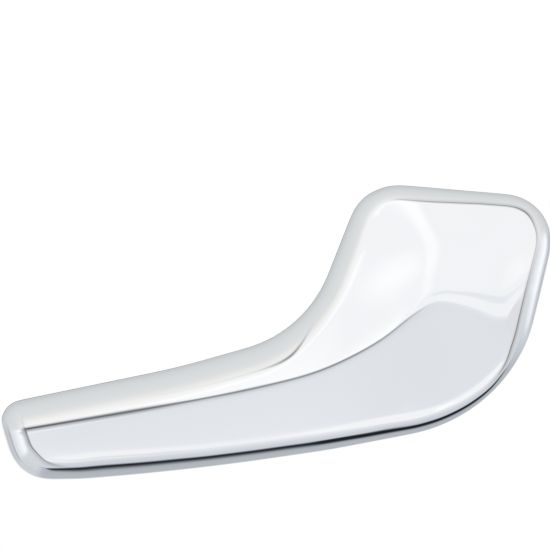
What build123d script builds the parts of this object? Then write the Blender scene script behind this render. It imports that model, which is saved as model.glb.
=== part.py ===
import os

from build123d import *

os.makedirs("parts", exist_ok=True)

# Frame: +Z runs up the pivot axis, +X along the lever from its tip to the head, and the front faces -Y.
# The origin lies on the pivot axis, halfway up the pivot boss. Millimetres.

# Outline from the front: corners where the edges would meet, each rounded by its own radius
lever_reach = 99.7
tip_top = 1.5
tip_bottom = -15.9
tip_rake = 1.9
tip_top_round = 3.9
tip_bottom_round = 10.0
lever_bend_top = (-0.589 * lever_reach, 2.5)
lever_bend_top_round = 160.0
neck = (-30.2, 5.3)
neck_round = 27.0
head_peak = (-11.8, 35.0)
head_peak_round = 10.8
head_far = (30.1, 23.6)
head_far_round = 10.5
far_edge_bend = (16.9, -6.2)
far_edge_bend_round = 32.0
belly = (3.0, -20.8)
belly_round = 33.0
lever_bend_bottom = (-0.476 * lever_reach, -21.3)
lever_bend_bottom_round = 300.0

# Depth: the flat that the front is cut from lies this far before the pivot axis
front_reach = 21.0
head_depth = 9.6
tip_depth = 7.8
taper_start = -34.0
taper_round = 150.0
rim_roll = 3.8
tip_roll = 7.0

# Shell
wall = 2.2
head_skin = 3.0
lever_skin = 3.5
rim_edge_round = 0.5

# Wall between the head's pocket and the lever's recess, from above the outline to below it
divider_wall = 2.0
divider_top = (-14.0, 32.0)
divider_middle = (-22.6, 6.0)
divider_bottom = (-21.8, -24.0)

# Pivot boss and the block that carries it
boss_diameter = 20.0
boss_length = 24.0
boss_end_round = 2.4
boss_top_round = 0.8
bore_diameter = 10.0
bore_mouth = 1.0
flute_count = 6
flute_width = 1.1
flute_depth = 0.8
window_height = 5.6
window_width = 15.0
window_ring = 4.8

# Hump above the boss, cored from its top
hump_offset = 2.0
hump_width = 25.0
hump_depth = 12.2
hump_height = 11.0
hump_side_round = 6.0
hump_top_round = 4.0
core_offset = 3.4
core_length = 17.0
core_width = 7.0
core_floor = 1.5

# Ribs on the floor of the head's pocket; each drop is how far a rib stays below the rim
rib_wall = 1.5
plate_drop = 1.2
ladder_count = 4
ladder_pitch = 6.4
ladder_start = 4.4
ladder_drop = 2.4
side_rib_gap = 3.2
side_rib_length = 19.0
side_rib_drop = 3.6
pad_diameter = 6.0
pad_place = (18.4, 16.2)
pad_rise = 0.4

# Sections of the sculpted front, from beyond the tip to beyond the head's far edge. Depths count from the flat.
# x; roll: height and depth where it ends, depth at its middle; crease: height, depth;
# dish: depth at its middle; lip: height and depth
sections = [
    (-1.063 * lever_reach, 4.0, 4.4, 1.00, -4.8, 0.05, 0.35, -16.5, 0.30),
    (-0.843 * lever_reach, 4.0, 4.4, 1.00, -4.9, 0.05, 0.80, -19.5, 0.35),
    (-0.622 * lever_reach, 4.6, 4.6, 1.05, -5.2, 0.05, 1.05, -22.0, 0.40),
    (-0.421 * lever_reach, 7.4, 4.4, 1.00, -4.9, 0.05, 1.10, -23.5, 0.45),
    (-25.0, 19.0, 1.8, 0.45, -2.9, 0.06, 1.10, -24.0, 0.50),
    (-8.0, 39.0, 0.40, 0.20, 3.8, 0.10, 1.00, -24.0, 0.60),
    (10.0, 38.0, 0.40, 0.36, 6.0, 0.38, 0.85, -22.5, 1.10),
    (34.0, 36.0, 0.40, 0.40, 6.0, 0.40, 0.75, -21.0, 1.20),
]

front = -front_reach
rim = front + head_depth
floor = front + head_skin
beyond = 4 * head_depth
boss_radius = boss_diameter / 2
boss_top = boss_length / 2

# The outline and what is drawn inside it, all flat with X across and Z up
corners = [
    ((-lever_reach, tip_top), tip_top_round),
    (lever_bend_top, lever_bend_top_round),
    (neck, neck_round),
    (head_peak, head_peak_round),
    (head_far, head_far_round),
    (far_edge_bend, far_edge_bend_round),
    (belly, belly_round),
    (lever_bend_bottom, lever_bend_bottom_round),
    ((-lever_reach + tip_rake, tip_bottom), tip_bottom_round),
]
with BuildSketch() as outline:
    with BuildLine():
        FilletPolyline([place for place, _ in corners], radius=[r for _, r in corners], close=True)
    make_face()
with BuildSketch() as divider:
    with BuildLine():
        ThreePointArc(divider_top, divider_middle, divider_bottom)
    trace(line_width=divider_wall)
with BuildSketch() as hollows:
    add(outline.sketch)
    offset(amount=-wall, mode=Mode.REPLACE)
    add(divider.sketch, mode=Mode.SUBTRACT)
lever_recess, *_, head_pocket = hollows.faces().sort_by(Axis.X)
with BuildSketch() as rib_field:
    add(head_pocket)
    offset(amount=min(wall, divider_wall) / 2, mode=Mode.REPLACE)

# Sculpted front: roll and dish meet in the crease, whose angle fades out towards the head
with BuildPart() as sculpt:
    for x, roll_z, roll_y, roll_mid, crease_z, crease_y, dish_mid, lip_z, lip_y in sections:
        crease = (front + crease_y, crease_z)
        roll_end = (front + roll_y, roll_z)
        lip = (front + lip_y, lip_z)
        with BuildSketch(Plane.YZ.offset(x)):
            with BuildLine():
                Spline(roll_end, (front + roll_mid, (roll_z + crease_z) / 2), crease)
                Spline(crease, (front + dish_mid, (crease_z + lip_z) / 2), lip)
                Polyline(lip, (front + beyond, lip_z), (front + beyond, roll_z), roll_end)
            make_face()
    loft()

# Pivot boss: a round barrel on a straight block that reaches the head's skin, drawn from above
with BuildPart() as boss:
    with BuildSketch(Plane.XY.offset(boss_top)):
        Circle(boss_radius)
        with Locations((0, floor)):
            Rectangle(boss_diameter, -floor, align=(Align.CENTER, Align.MIN))
    extrude(amount=-boss_length)
    barrel = boss.faces().filter_by(GeomType.CYLINDER).sort_by(SortBy.AREA)[-1]
    fillet(barrel.edges().group_by(Axis.Z)[0], boss_end_round)
    fillet(boss.edges().filter_by(GeomType.CIRCLE).group_by(Axis.Z)[-1], boss_top_round)

# Hump: a rounded block that stands on the plate rib, with an oval core open at its top
with BuildPart() as hump:
    with BuildSketch(Plane.XY.offset(boss_top - rib_wall)) as hump_plan:
        with Locations((hump_offset, floor)):
            Rectangle(hump_width, hump_depth - head_skin, align=(Align.CENTER, Align.MIN))
        fillet(hump_plan.vertices().group_by(Axis.Y)[-1], hump_side_round)
    extrude(amount=rib_wall + hump_height)
    top_edges = hump.faces().sort_by(Axis.Z)[-1].edges().sort_by(Axis.Y)[1:]
    fillet(top_edges, hump_top_round)
    with BuildSketch(Plane.XY.offset(boss_top + core_floor)):
        with Locations((core_offset, (floor + front + hump_depth) / 2)):
            SlotOverall(core_length, core_width)
    extrude(amount=hump_height, mode=Mode.SUBTRACT)

with BuildPart() as lever_handle:
    # Outer form: the outline with a rolled edge, tapered in depth towards the tip, under the sculpted front
    with BuildSketch(Plane.XZ.offset(front_reach)):
        add(outline.sketch)
    extrude(amount=-head_depth)
    fillet(lever_handle.faces().sort_by(Axis.Y)[0].edges(), rim_roll)
    with BuildSketch(Plane.XY):
        with BuildLine():
            FilletPolyline(
                (-lever_reach, front), (beyond, front), (beyond, rim), (taper_start, rim),
                (-lever_reach, front + tip_depth),
                radius=[tip_roll, 0, 0, taper_round, 0], close=True,
            )
        make_face()
    extrude(amount=lever_reach, both=True, mode=Mode.INTERSECT)
    add(sculpt.part, mode=Mode.INTERSECT)
    rim_faces = lever_handle.faces().filter_by(lambda face: face.normal_at().Y > 0.9)
    fillet(rim_faces.edges().filter_by(lambda edge: rim_faces.edges().count(edge) == 1), rim_edge_round)

    # Hollows on the door side, with the dividing wall left standing between them
    for hollow, skin in ((lever_recess, lever_skin), (head_pocket, head_skin)):
        with BuildSketch(Plane.XZ.offset(front_reach - skin)):
            add(hollow)
        extrude(amount=-beyond, mode=Mode.SUBTRACT)

    # Ribs on the pocket's floor: a plate across at the boss top, a ladder to the dividing wall, one beside the boss
    ladder = [boss_top - ladder_start - i * ladder_pitch for i in range(ladder_count)]
    side_rib = boss_radius + side_rib_gap
    side_rib_end = boss_top - side_rib_length
    ribs = [
        (plate_drop, [(0, boss_top - rib_wall / 2, lever_reach, rib_wall)]),
        (ladder_drop, [(-hump_width, z, 2 * hump_width, rib_wall) for z in ladder]),
        (side_rib_drop, [
            (side_rib + rib_wall / 2, boss_top - side_rib_length / 2, rib_wall, side_rib_length),
            ((side_rib + rib_wall) / 2, side_rib_end, side_rib + rib_wall, rib_wall),
        ]),
    ]
    for drop, bars in ribs:
        with BuildSketch(Plane.XZ.offset(-floor)):
            for x, z, across, up in bars:
                with Locations((x, z)):
                    Rectangle(across, up)
            add(rib_field.sketch, mode=Mode.INTERSECT)
        extrude(amount=-(rim - drop - floor))
    with BuildSketch(Plane.XZ.offset(-floor)):
        with Locations(pad_place):
            Circle(pad_diameter / 2)
    extrude(amount=-pad_rise)
    add(boss.part)
    add(hump.part)

    # Fluted blind bore along the pivot axis with a flared mouth, and the window at its floor that a clip goes through
    with BuildSketch(Plane.XY.offset(boss_top)):
        Circle(bore_diameter / 2)
        with PolarLocations(bore_diameter / 2, flute_count):
            Rectangle(2 * flute_depth, flute_width)
    extrude(amount=window_ring - boss_length, mode=Mode.SUBTRACT)
    with Locations((0, 0, boss_top)):
        Cone(bore_diameter / 2, bore_diameter / 2 + bore_mouth, bore_mouth,
             align=(Align.CENTER, Align.CENTER, Align.MAX), mode=Mode.SUBTRACT)
    with Locations((0, 0, boss_top - boss_length + window_ring)):
        Box(window_width, boss_diameter, window_height,
            align=(Align.CENTER, Align.MIN, Align.MIN), mode=Mode.SUBTRACT)

lever_handle.part.label = "lever_handle"
export_step(lever_handle.part, "parts/lever_handle.step")
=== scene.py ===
import math

import bmesh
import bpy
from mathutils import Matrix, Vector
from mathutils.kdtree import KDTree


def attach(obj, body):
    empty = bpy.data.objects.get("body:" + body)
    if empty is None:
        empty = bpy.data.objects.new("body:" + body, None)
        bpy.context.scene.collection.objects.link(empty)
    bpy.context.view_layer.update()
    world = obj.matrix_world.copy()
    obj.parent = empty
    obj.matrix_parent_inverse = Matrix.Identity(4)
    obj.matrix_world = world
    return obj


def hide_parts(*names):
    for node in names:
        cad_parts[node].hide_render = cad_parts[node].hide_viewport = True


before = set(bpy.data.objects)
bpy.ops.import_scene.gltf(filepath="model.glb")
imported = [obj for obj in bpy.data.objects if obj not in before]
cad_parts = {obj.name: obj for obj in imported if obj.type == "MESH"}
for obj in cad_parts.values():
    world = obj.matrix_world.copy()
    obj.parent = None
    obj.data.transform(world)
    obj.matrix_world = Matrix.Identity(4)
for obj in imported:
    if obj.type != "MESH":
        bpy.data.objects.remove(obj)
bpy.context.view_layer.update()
mm = 0.001


def curveThrough(pairs):  # smooth curve through (place, value) pairs, held level beyond its ends
    xs = [p[0] for p in pairs]
    ys = [p[1] for p in pairs]
    n = len(xs)
    gap = [xs[i + 1] - xs[i] for i in range(n - 1)]
    rise = [(ys[i + 1] - ys[i]) / gap[i] for i in range(n - 1)]
    bend, low, mid = [0.0] * n, [0.0] * n, [1.0] * n
    for i in range(1, n - 1):
        mid[i] = 2 * (gap[i - 1] + gap[i]) - gap[i - 1] * low[i - 1]
        low[i] = gap[i] / mid[i]
        bend[i] = (6 * (rise[i] - rise[i - 1]) - gap[i - 1] * bend[i - 1]) / mid[i]
    for i in range(n - 2, 0, -1):
        bend[i] -= low[i] * bend[i + 1]

    def at(x):
        i = sum(1 for v in xs[1:-1] if v <= x)
        x = min(max(x, xs[0]), xs[-1])
        h, t = gap[i], x - xs[i]
        slope = rise[i] - h * (2 * bend[i] + bend[i + 1]) / 6
        return ys[i] + t * (slope + t * (bend[i] / 2 + t * (bend[i + 1] - bend[i]) / (6 * h)))

    return at


def ease(a, b, x):
    t = min(max((x - a) / (b - a), 0.0), 1.0)
    return t * t * (3 - 2 * t)


def clearSelection():
    if bpy.context.object and bpy.context.object.mode != "OBJECT":
        bpy.ops.object.mode_set(mode="OBJECT")
    bpy.ops.object.select_all(action="DESELECT")


def onlySelect(piece):
    clearSelection()
    piece.select_set(True)
    bpy.context.view_layer.objects.active = piece


def applyModifier(piece, kind, **values):
    onlySelect(piece)
    modifier = piece.modifiers.new(kind.title(), kind)
    for key, value in values.items():
        setattr(modifier, key, value)
    bpy.ops.object.modifier_apply(modifier=modifier.name)


def bakePlace(piece):
    onlySelect(piece)
    bpy.ops.object.transform_apply(location=True, rotation=True, scale=True)


# Outline seen from the front, millimetres, x along the lever and z up: corner and the radius that rounds it
outline = {
    "corners": [
        (-97.8, -15.5, 9.6), (-83.4, -17.85, 40.0), (-59.0, -20.22, 600.0), (-29.5, -21.15, 150.0),
        (2.9, -20.8, 34.6), (16.9, -6.2, 30.0), (30.1, 23.6, 10.5),
        (-11.8, 35.0, 10.8), (-30.2, 5.3, 27.0), (-58.7, 2.5, 160.0), (-99.7, 1.5, 4.7),
    ],
    "step": 0.4,
    "points": 860,
    "softening": 14,
}
loopCount = outline["points"]


def roundedLoop(corners, step):
    points = []
    n = len(corners)
    for i in range(n):
        a, b, c = (Vector(corners[j % n][:2]) for j in (i - 1, i, i + 1))
        into, out = (a - b).normalized(), (c - b).normalized()
        half = into.angle(out) / 2
        radius = corners[i][2]
        centre = b + (into + out).normalized() * radius / math.sin(half)
        arm = b + into * radius / math.tan(half) - centre
        sweep = math.pi - 2 * half
        turn = sweep if into.cross(out) < 0 else -sweep
        count = max(4, int(radius * sweep / step))
        points += [centre + Matrix.Rotation(turn * k / count, 2) @ arm for k in range(count + 1)]
    return points


def evenLoop(points, count):  # the same closed loop with even spacing
    total, marks = 0.0, [0.0]
    for i in range(len(points)):
        total += (points[(i + 1) % len(points)] - points[i]).length
        marks.append(total)
    even, i = [], 0
    for k in range(count):
        s = total * k / count
        while marks[i + 1] < s:
            i += 1
        t = (s - marks[i]) / max(marks[i + 1] - marks[i], 1e-9)
        even.append(points[i].lerp(points[(i + 1) % len(points)], t))
    return even


loop = evenLoop(roundedLoop(outline["corners"], outline["step"]), loopCount)
for _ in range(outline["softening"]):  # eases the change from straight to round
    loop = [loop[i - 1] * 0.25 + loop[i] * 0.5 + loop[(i + 1) % loopCount] * 0.25 for i in range(loopCount)]
spacing = sum((loop[i] - loop[i - 1]).length for i in range(loopCount)) / loopCount


def loopPlace(s):  # point and inward direction at a place on the loop, counted in its own points
    i = int(math.floor(s)) % loopCount
    t = s - math.floor(s)
    a, b, c, d = (loop[(i + k) % loopCount] for k in (-1, 0, 1, 2))
    along = ((c - a) * (1 - t) + (d - b) * t).normalized()
    return b.lerp(c, t), Vector((-along.y, along.x))


finder = KDTree(loopCount)
for i, point in enumerate(loop):
    finder.insert((point.x, point.y, 0), i)
finder.balance()


def nearestMark(x, z):
    return finder.find((x, z, 0))[1]


def loopDistance(x, z):  # distance to the loop, and where on it
    i = nearestMark(x, z)
    found = []
    for k in (i - 1, i):
        a, b = loop[k % loopCount], loop[(k + 1) % loopCount]
        run = b - a
        t = min(max((Vector((x, z)) - a).dot(run) / run.length_squared, 0), 1)
        found.append(((a + run * t - Vector((x, z))).length, k + t))
    return min(found)


print("outline", loopCount, "points")

# Front of the handle: millimetres, depths count back from the flat that it is cut from.
# Lists run along x and are joined by smooth curves; the ridge's runs up z.
front = {
    "flat": -21.0,
    "creaseLine": [(-112, -4.5), (-94, -4.55), (-80, -4.75), (-68, -4.9), (-56, -4.95), (-46, -4.8),
                   (-38, -4.45), (-30, -3.7), (-24.4, -2.55), (-18.8, -0.9), (-13, 1.4), (-7.1, 4.5),
                   (-4.25, 5.75), (-2.4, 6.4), (-0.55, 6.5), (1.4, 6.05), (3.4, 5.15), (5.4, 4.1),
                   (7.3, 2.9), (9.9, 1.0), (11.2, 0.4), (12.3, 0.25), (13.2, 0.55), (14.6, 2.1),
                   (15.9, 3.7), (18.3, 6.3), (22, 9), (36, 15)],
    "calmLine": [(-112, -4.5), (-80, -4.75), (-56, -4.95), (-38, -4.45), (-24.4, -2.55), (-13, 1.4),
                 (-7.1, 4.1), (1.2, 5.2), (8, 4.2), (14, 3.6), (22, 4.4), (36, 6.2)],
    "waveFade": 8.0,
    "beadHeight": [(-112, 0.5), (-8, 0.6), (-4, 1.2), (0, 2.1), (4, 2.6), (8, 3.1), (12, 2.9), (15, 2.3),
                   (18, 1.5), (36, 1.0)],
    "beadSlope": [(-112, 0.0), (-10, 0.0), (-6, 0.03), (-1, 0.10), (4, 0.11), (12, 0.11), (16, 0.09),
                  (20, 0.05), (24, 0.0), (36, 0.0)],
    "beadRun": 0.75,
    "lipLine": [(-112, -15.0), (-84, -17.0), (-62, -18.8), (-42, -20.0), (-25, -20.6), (-8, -20.6),
                (10, -19.5), (36, -17)],
    "dishSlope": [(-112, 0.06), (-60, 0.06), (-25, 0.065), (-8, 0.075), (10, 0.075), (36, 0.07)],
    "dishEase": [(-112, 0.5), (-60, 0.45), (-30, 0.35), (-8, 0.1), (10, 0.05), (36, 0.05)],
    "roofSlope": [(-112, 0.045), (-45, 0.045), (-25, 0.04), (-8, 0.045), (8, 0.045), (36, 0.04)],
    "roofBrow": [(-112, 0.03), (-45, 0.035), (-25, 0.045), (-8, 0.05), (0, 0.035), (8, 0.01), (36, 0.0)],
    "browRun": 3.5,
    "stepSlope": [(-112, 0.36), (-50, 0.36), (-30, 0.32), (-15, 0.22), (-7, 0.12), (0, 0.06), (10, 0.04),
                  (36, 0.04)],
    "stepRun": [(-112, 0.75), (-40, 0.75), (-22, 0.75), (-12, 0.9), (-4, 1.4), (6, 2.0), (36, 2.2)],
    "creaseSoft": [(-112, 0.010), (-40, 0.010), (-20, 0.014), (-10, 0.04), (-3, 0.12), (6, 0.2), (14, 0.22),
                   (36, 0.25)],
    # creaseShade, creaseWidth and creaseDrop set the painted shade line just under the crease, in place of
    # its dark reflection; lineStart fades it in at the tip
    "creaseShade": [(-112, 1.0), (-60, 1.0), (-30, 0.95), (-18, 0.85), (-11, 0.6), (-7, 0.46), (-5, 0.25),
                    (-3, 0.05), (-1.5, 0.0), (36, 0.0)],
    "creaseWidth": [(-112, 0.31), (-91, 0.31), (-79, 0.35), (-67, 0.34), (-63, 0.28), (-59, 0.22), (-51, 0.2),
                    (-47, 0.225), (-39, 0.2), (-30, 0.18), (36, 0.18)],
    "creaseDrop": 0.14,
    "stepStart": (-94.6, -93.8),
    "lineStart": (-94.5, -94.0),
    "startSoft": 0.5,
    "ridgeLine": [(-22, -8.0), (4, -6.5), (8, -6.0), (12, -3.2), (17.6, 0.6), (22.6, -1.6), (27.6, -5.0),
                  (34, -8.0)],
    "ridgeRise": 0.42,
    "ridgeLeft": 12.0,
    "ridgeRight": 11.0,
    "ridgeUp": (-16.0, 14.0),
    "ridgeAlong": (-40.0, -15.0),
    # neckDistance and neckShade place a painted shade line in the roll below the neck, in place of a dark
    # reflection
    "neckDistance": [(-112, 5.2), (-58, 5.2), (-47, 5.5), (-41, 5.5), (-36, 5.4), (-31, 3.5), (-26, 3.1),
                     (36, 3.0)],
    "neckShade": [(-112, 0.0), (-70, 0.0), (-63, 0.06), (-52, 0.1), (-46.7, 0.17), (-41, 0.42), (-36, 0.95),
                  (-33.5, 0.6), (-31, 0.15), (-26, 0.05), (-20, 0.0), (36, 0.0)],
    "neckWidth": 0.13,
    "neckSpread": 0.1,
    "rimStep": 0.16,
    "rimRun": 0.2,
    # rimLineAt and rimLineWidth place the painted shade line just past the rim line
    "rimLineAt": 0.15,
    "rimLineWidth": 0.17,
    "rimSoftening": 30,
    "curlShift": 0.2,
    "curlRun": 0.8,
    "tipEnd": -80.0,
    "tipLineStop": (-0.1, 0.6),
}
bellHalf = 0.886  # area of half a bell curve of height and run 1, which turns a slope into a height

# Rim round the loop, from the tip along the bottom:
# x, z, inset of the rim line, roll width, roll depth, groove (strength of the rim's step and of its painted
# shade line), slope with which the dish curls up to the lip
rimRows = [
    (-98.7, -7.9, 4.9, 5.2, 4.6, 1.0, 0.0), (-96.6, -13.0, 4.95, 5.2, 4.4, 1.0, 0.0),
    (-93.8, -15.5, 4.5, 4.9, 4.1, 0.9, 0.0), (-92.0, -16.3, 3.85, 4.6, 3.8, 0.75, 0.0),
    (-86.5, -17.1, 2.5, 4.5, 3.6, 0.1, 0.03), (-80.0, -17.8, 2.3, 4.85, 3.75, 0.0, 0.035),
    (-66.0, -19.4, 2.3, 4.6, 3.55, 0.0, 0.04), (-55.0, -20.1, 2.3, 4.3, 3.35, 0.0, 0.05),
    (-42.0, -21.0, 2.3, 4.2, 3.25, 0.0, 0.06), (-30.0, -21.1, 2.2, 4.1, 2.95, 0.0, 0.09),
    (-19.0, -21.0, 2.1, 3.85, 2.55, 0.0, 0.12), (-8.0, -20.8, 2.1, 3.55, 2.25, 0.0, 0.15),
    (-2.3, -19.7, 2.0, 3.25, 1.95, 0.0, 0.16), (2.9, -17.7, 1.8, 2.85, 1.58, 0.0, 0.165),
    (7.8, -14.9, 1.5, 2.4, 1.2, 0.1, 0.16), (12.1, -11.3, 1.6, 2.2, 1.6, 0.9, 0.1),
    (15.8, -7.0, 2.75, 3.1, 2.1, 1.0, 0.0), (18.7, -2.2, 3.25, 3.5, 2.4, 0.95, 0.0),
    (21.0, 2.9, 3.3, 3.6, 2.5, 0.85, 0.0), (23.2, 8.1, 3.25, 3.6, 2.6, 0.55, 0.0),
    (25.5, 13.3, 3.2, 3.6, 2.6, 0.45, 0.0), (25.8, 18.8, 2.85, 3.4, 2.7, 0.6, 0.0),
    (23.3, 23.8, 2.25, 3.1, 2.7, 1.0, 0.0), (18.6, 26.7, 2.45, 3.3, 2.9, 0.75, 0.0),
    (13.2, 28.2, 2.5, 3.4, 3.0, 0.75, 0.0), (7.7, 29.7, 2.75, 3.6, 3.1, 0.7, 0.0),
    (2.3, 31.2, 3.0, 3.8, 3.2, 0.65, 0.0), (-3.1, 32.6, 3.05, 3.8, 3.2, 0.5, 0.0),
    (-8.7, 33.1, 3.0, 3.9, 3.2, 0.1, 0.0), (-13.7, 30.8, 2.9, 4.6, 3.5, 0.0, 0.0),
    (-17.2, 26.3, 2.7, 4.9, 3.8, 0.0, 0.0), (-20.1, 21.6, 2.6, 5.4, 4.1, 0.0, 0.0),
    (-26.5, 12.3, 2.6, 5.4, 4.1, 0.0, 0.0), (-30.8, 8.7, 2.6, 6.0, 4.1, 0.0, 0.0),
    (-35.7, 6.0, 2.6, 6.9, 4.2, 0.0, 0.0), (-41.0, 4.3, 2.6, 7.2, 4.4, 0.0, 0.0),
    (-58.0, 2.7, 2.5, 7.0, 4.5, 0.0, 0.0), (-86.0, 1.8, 2.5, 6.6, 4.5, 0.0, 0.0),
    (-97.2, 1.1, 3.3, 6.4, 4.6, 0.2, 0.0), (-99.1, -3.7, 4.8, 5.6, 4.6, 1.0, 0.0),
]
marks = sorted((nearestMark(row[0], row[1]), row[2:]) for row in rimRows)
rim = []
for k in range(loopCount):
    after = next((m for m in marks if m[0] > k), (marks[0][0] + loopCount, marks[0][1]))
    before = next((m for m in reversed(marks) if m[0] <= k), (marks[-1][0] - loopCount, marks[-1][1]))
    t = ease(before[0], after[0], k)
    rim.append([a + (b - a) * t for a, b in zip(before[1], after[1])])
for _ in range(front["rimSoftening"]):
    rim = [[(a + 2 * b + c) / 4 for a, b, c in zip(rim[i - 1], rim[i], rim[(i + 1) % loopCount])]
           for i in range(loopCount)]


def rimAt(s):
    i = int(math.floor(s)) % loopCount
    t = s - math.floor(s)
    return [a + (b - a) * t for a, b in zip(rim[i], rim[(i + 1) % loopCount])]


lines = {key: curveThrough(value) for key, value in front.items() if isinstance(value, list)}


def aboveCrease(x, z):  # height over the crease, whose wave on the head dies out away from it
    wave, calm = lines["creaseLine"](x), lines["calmLine"](x)
    return z - calm - (wave - calm) * math.exp(-abs(z - wave) / front["waveFade"])


def faceDepth(x, z, distance, width, curl):  # roof above the crease and dish below it, whichever lies deeper
    above = aboveCrease(x, z)
    brow = 1 - math.exp(-max(above, 0.0) / front["browRun"])
    roof = lines["roofSlope"](x) * above + lines["roofBrow"](x) * front["browRun"] * brow
    bead = math.erf((above - lines["beadHeight"](x)) / front["beadRun"])  # soft bead that runs along the wave
    roof -= lines["beadSlope"](x) * front["beadRun"] * bellHalf * (1 + bead)
    height = lines["calmLine"](x) - lines["lipLine"](x)
    dish = -lines["dishSlope"](x) * above * (1 + lines["dishEase"](x) * min(above, 0.0) / height)
    run = lines["stepRun"](x)
    onPanel = ease(*front["stepStart"], x)
    dish -= onPanel * lines["stepSlope"](x) * run * bellHalf * math.erf(above / run)
    soft = lines["creaseSoft"](x) + front["startSoft"] * (1 - onPanel)
    deepest = (roof + dish + math.hypot(roof - dish, soft)) / 2
    aside = x - lines["ridgeLine"](z)
    aside /= front["ridgeRight"] if aside > 0 else front["ridgeLeft"]
    ridge = front["ridgeRise"] * math.exp(-aside ** 2)
    ridge *= ease(*front["ridgeUp"], z) * ease(*front["ridgeAlong"], x)
    turn = (distance - width - front["curlShift"]) / front["curlRun"]
    return deepest - ridge - curl * front["curlRun"] * bellHalf * (1 - math.erf(turn))


def lineShade(x, z, distance, edgeX, past, groove):  # painted shade: how dark the painted lines along the crease, rim and neck are, in place of their dark reflections
    below = lines["creaseLine"](x) - z
    crease = ease(*front["lineStart"], x) * lines["creaseShade"](x)
    crease *= math.exp(-((below - front["creaseDrop"]) / lines["creaseWidth"](x)) ** 2)
    rimShadeLine = groove * math.exp(-((past - front["rimLineAt"]) / front["rimLineWidth"]) ** 2)
    neck = lines["neckShade"](edgeX)
    width = front["neckWidth"] + front["neckSpread"] * neck
    neck *= math.exp(-((distance - lines["neckDistance"](edgeX)) / width) ** 2)
    return max(0.0, crease, rimShadeLine, neck if below < 0 else 0.0)


def rollDepth(distance, width, depth):
    t = max(0.0, 1 - distance / width)
    return depth * (1 - math.sqrt(max(0.0, 1 - t * t)))


def frontAt(x, z):  # depth of the finished front and the darkness of its painted shade lines
    distance, mark = loopDistance(x, z)
    inset, width, depth, groove, curl = rimAt(mark)
    edge, inward = loopPlace(mark)
    past = max(0.0, distance - inset)
    proud = front["rimStep"] * groove * math.exp(-(past / front["rimRun"]) ** 2)
    if x < front["tipEnd"]:  # at the tip no step, only the painted shade line, which stops where it meets the crease
        proud = 0.0
        groove *= 1 - ease(*front["tipLineStop"], z - lines["creaseLine"](x))
    onFace = edge + inward * inset if distance < inset else Vector((x, z))
    face = faceDepth(onFace.x, onFace.y, max(distance, inset), width, curl)
    return face + rollDepth(distance, width, depth) - proud, lineShade(x, z, distance, edge.x, past, groove)


# Mesh of the shell. A station is a place on the lower edge, one on the crease and one on the upper edge,
# and the stations run from the tip to the head's top.
shell = {
    "stations": [
        ((-95.3, -13.4), (-94.2, -4.8), (-98.2, 0.2)),
        ((-80, -18), (-80, -5.0), (-80, 1.9)),
        ((-60, -20), (-60.5, -5.2), (-61, 2.5)),
        ((-42, -21), (-43.5, -4.95), (-45, 3.8)),
        ((-26, -21), (-29.5, -3.85), (-34, 6.2)),
        ((-11, -20.6), (-18.5, -1.05), (-27.5, 10.5)),
        ((2, -18.5), (-9.4, 3.0), (-23.2, 16)),
        ((10.5, -12.5), (-3.3, 6.0), (-20.6, 20.5)),
        ((17, -3), (1.6, 11.8), (-18.2, 24.6)),
        ((21.5, 7), (4.8, 19.0), (-16, 28.0)),
        ((26.0, 21.0), (6.3, 27.0), (-12.6, 31.6)),
    ],
    "columnStep": 1.1,
    "closeRows": [0.0, 0.16, 0.4, 0.8, 1.3, 1.8, 2.3, 2.8, 3.4],
    "creaseRows": [0.0, 0.09, 0.24, 0.5, 1.0],
    "creaseLeave": (-6.0, 1.0),
    "neckRows": [-0.5, -0.2, -0.07, 0.07, 0.2, 0.5],
    "neckLeast": 0.9,
    "neckGap": 0.7,
    "lowerRows": 16,
    "lowerSqueeze": 0.42,
    "upperRows": 11,
    "upperSqueeze": 0.3,
    "headHeights": (8.0, 20.0),
    "headBunch": 0.7,
    "edgeRows": 3,
    "endTries": 200,
    "tipBlend": 16.0,
    "topBlend": 14.0,
    "rollSteps": 8,
    "roundSteps": 7,
    "mergeGap": 0.002,
    "relayLimit": 0.3,
    "relayBlend": (0.5, 1.2),
    "smoothAngle": 32.0,
    "wall": 2.2,
    "draft": 0.1,
    # inset from the outline, or past the wall's inner face, and the height against the rear rim
    "rearOuter": [(0.0, -2.6), (0.0, -1.4), (0.1, -0.88), (0.4, -0.4), (0.88, -0.1), (1.35, 0.0)],
    "rearInner": [(-0.42, -0.04), (-0.12, -0.18), (0.01, -0.42), (0.04, -0.8)],
    "rearRim": [(-112, -12.9), (-99, -13.2), (-36, -11.45), (-28, -11.4), (36, -11.4)],
    "floor": [(-112, -17.6), (-34, -17.6), (-18, -18.0), (36, -18.0)],
    "floorRound": [(-112, 0.9), (-97, 0.9), (-88, 1.4), (-30, 1.4), (-18, 1.4), (36, 1.2)],
    "floorLean": 3.0,
    "coveWidth": [(-112, 4.0), (-97, 4.2), (-80, 4.8), (-60, 5.4), (-44, 6.4), (-34, 7.0), (-20, 7.5),
                  (36, 7.5)],
    "coveRise": 2.9,
    "coveEdge": 0.08,
    "hollowStart": (-97.0, -91.0),
    "hollowEnd": (-24.0, -20.5),
    "hollowFront": -18.3,
}
stations = shell["stations"]
lowMarks = [nearestMark(*p[0]) for p in stations]
highMarks = [nearestMark(*p[2]) for p in stations]
cornerA, cornerB, cornerC, cornerD = lowMarks[0], lowMarks[-1], highMarks[-1], highMarks[0]
lowMarks = [m if m >= cornerA else m + loopCount for m in lowMarks]
highMarks = [m if m >= cornerA else m + loopCount for m in highMarks]
travel = [0.0]
for k in range(1, len(stations)):
    low = abs(lowMarks[k] - lowMarks[k - 1]) * spacing
    high = abs(highMarks[k] - highMarks[k - 1]) * spacing
    travel.append(travel[-1] + (low + high) / 2)
reach = travel[-1]
lowAlong = curveThrough(list(zip(travel, lowMarks)))
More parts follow.
